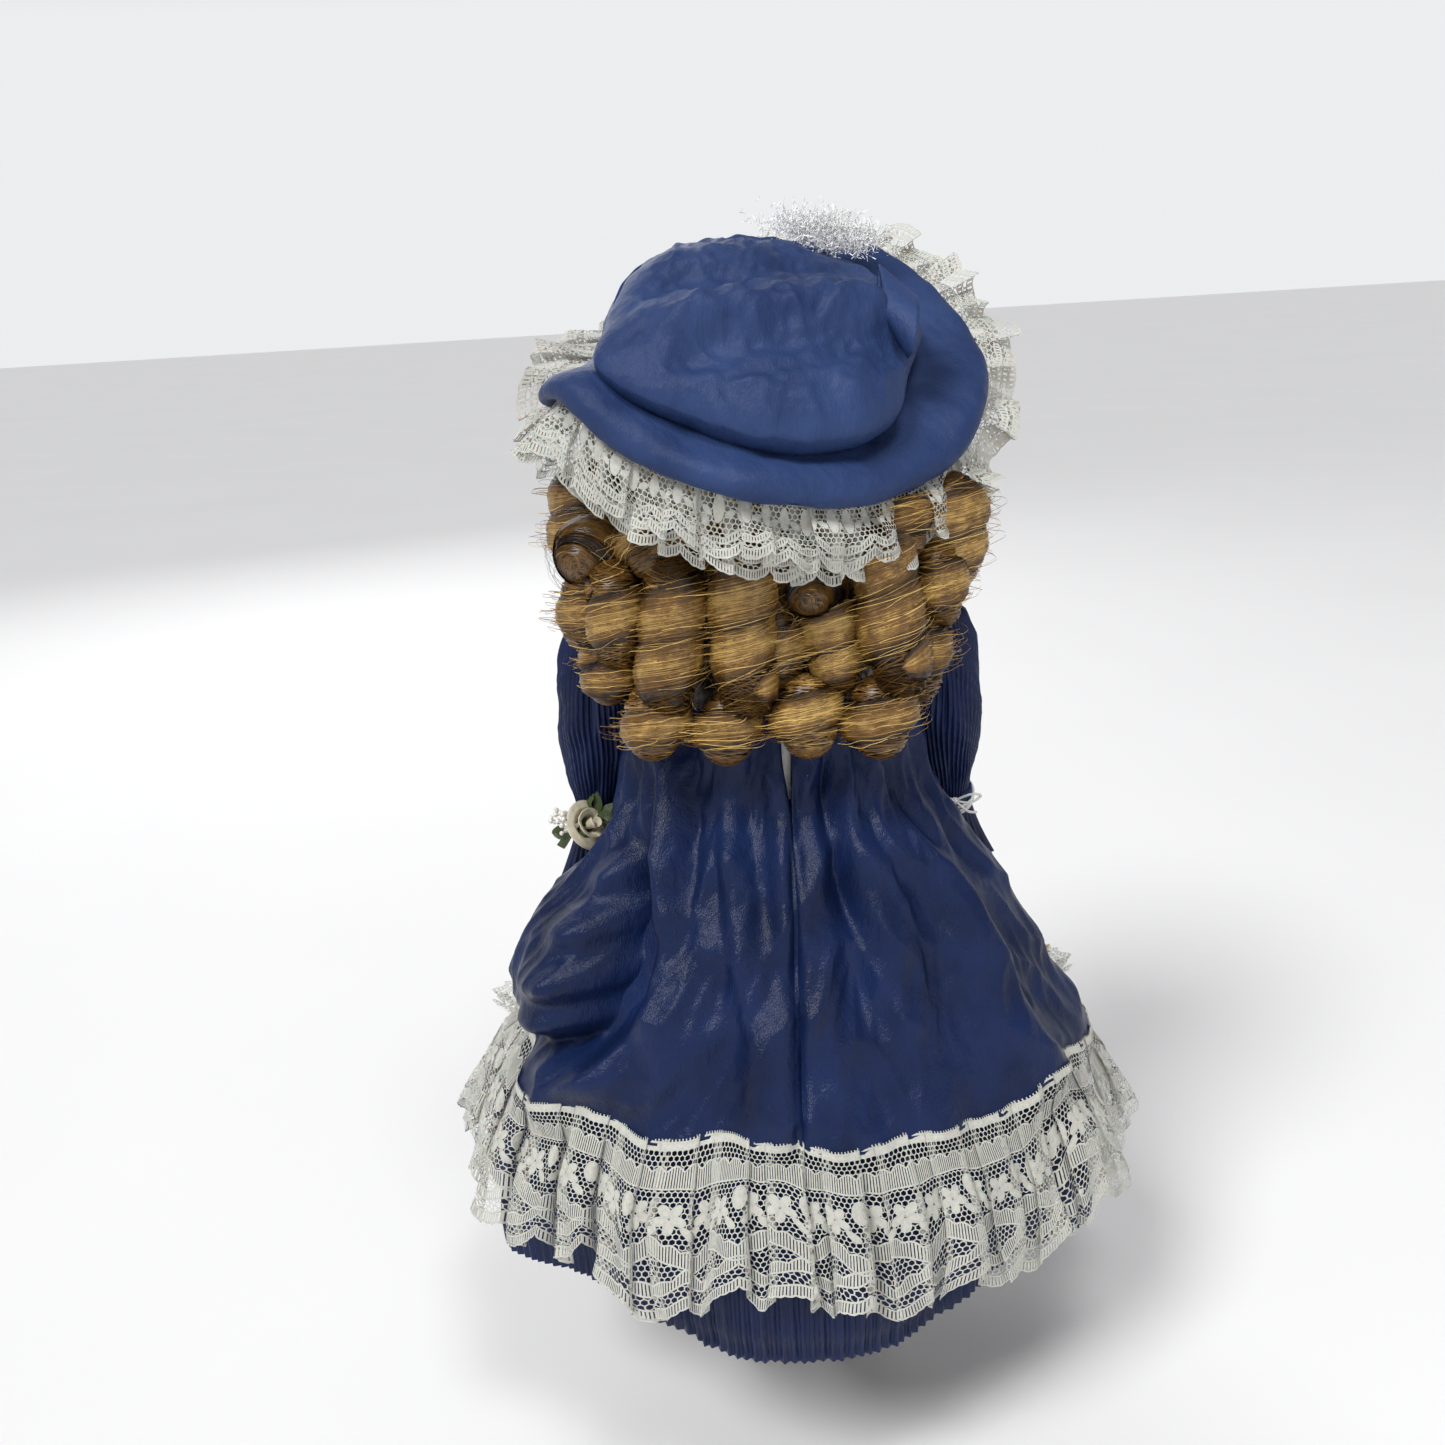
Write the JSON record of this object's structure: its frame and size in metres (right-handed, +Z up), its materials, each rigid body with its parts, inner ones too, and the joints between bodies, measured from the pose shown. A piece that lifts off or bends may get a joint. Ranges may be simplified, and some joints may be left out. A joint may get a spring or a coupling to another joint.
{
  "type": "porcelain doll",
  "caption": "Porcelain doll in a navy satin dress with ivory lace, ringlets and a tilted hat; arms bend at shoulder and elbow, legs at the hip, and the hat lifts off",
  "frame": {"origin": "on the floor under the centre of the doll's box, between its feet", "axes": "+Z up, the doll faces -Y, and its left side is at +X"},
  "size_m": [0.2336, 0.202, 0.4197],
  "materials": {
    "bisque": "matt bisque porcelain, tinted and painted",
    "shoe_glaze": "glazed porcelain",
    "eye_glass": "polished glass, opaque",
    "hair": "golden synthetic fibre",
    "navy_satin": "navy satin with a soft sheen",
    "lace": "ivory net lace",
    "muslin": "plain cream weave",
    "ribbon": "olive satin ribbon",
    "rose_satin": "cream satin",
    "pearl": "pearl lacquer",
    "tulle": "white net",
    "white_trim": "white woven trim"
  },
  "bodies": {
    "doll": {"torso": "muslin", "shoulder_head": "bisque", "eye_left": "eye_glass", "eye_right": "eye_glass", "wig_cap": "hair", "back_ringlet_1": "hair", "back_ringlet_2": "hair", "back_ringlet_3": "hair", "back_ringlet_4": "hair", "back_ringlet_5": "hair", "back_ringlet_6": "hair", "side_ringlet_left": "hair", "side_ringlet_right": "hair", "side_puff_left": "hair", "side_puff_right": "hair", "face_ringlet_left": "hair", "face_ringlet_right": "hair", "bodice": "navy_satin", "collar_lace": "lace", "underskirt": "navy_satin", "hem_lace": "lace", "overskirt_left": "navy_satin", "overskirt_right": "navy_satin", "front_lace_left": "lace", "front_lace_right": "lace", "closure_strip": "white_trim", "hip_rose_left": "rose_satin", "hip_rose_right": "rose_satin"},
    "hat": {"hat_brim": "navy_satin", "hat_crown": "navy_satin", "hat_lace_under": "lace", "hat_lace_edge": "lace", "hat_plume": "tulle"},
    "left_upper_arm": {"left_upper_arm": "muslin", "left_sleeve": "navy_satin"},
    "left_forearm": {"left_forearm": "bisque", "left_elbow_band": "navy_satin", "left_cuff": "navy_satin", "bouquet_rose": "rose_satin", "bouquet_pearls": "pearl", "bouquet_leaves": "ribbon"},
    "left_leg": {"left_thigh": "muslin", "left_bloomer_leg": "lace", "left_lower_leg": "shoe_glaze"},
    "right_upper_arm": {"right_upper_arm": "muslin", "right_sleeve": "navy_satin"},
    "right_forearm": {"right_forearm": "bisque", "right_elbow_band": "navy_satin", "right_cuff": "navy_satin", "right_band_tie": "white_trim"},
    "right_leg": {"right_thigh": "muslin", "right_bloomer_leg": "lace", "right_lower_leg": "shoe_glaze"}
  },
  "joints": [
    {"name": "hat_lift", "type": "slide", "parent": "doll", "child": "hat", "axis": [-0.2554, 0.5614, 0.7871], "range_m": [0, 0.06]},
    {"name": "left_shoulder", "type": "hinge", "parent": "doll", "child": "left_upper_arm", "pos_m": [0.05, 0, 0.271], "axis": [-1, 0, 0], "range_deg": [0, 80]},
    {"name": "left_elbow", "type": "hinge", "parent": "left_upper_arm", "child": "left_forearm", "pos_m": [0.061, -0.014, 0.211], "axis": [-1, 0, 0], "range_deg": [0, 60]},
    {"name": "left_hip", "type": "hinge", "parent": "doll", "child": "left_leg", "pos_m": [0.0155, 0.003, 0.152], "axis": [-1, 0, 0], "range_deg": [-20, 35]},
    {"name": "right_shoulder", "type": "hinge", "parent": "doll", "child": "right_upper_arm", "pos_m": [-0.05, 0, 0.271], "axis": [-1, 0, 0], "range_deg": [0, 80]},
    {"name": "right_elbow", "type": "hinge", "parent": "right_upper_arm", "child": "right_forearm", "pos_m": [-0.061, -0.014, 0.211], "axis": [-1, 0, 0], "range_deg": [0, 60]},
    {"name": "right_hip", "type": "hinge", "parent": "doll", "child": "right_leg", "pos_m": [-0.0155, 0.003, 0.152], "axis": [-1, 0, 0], "range_deg": [-20, 35]}
  ]
}
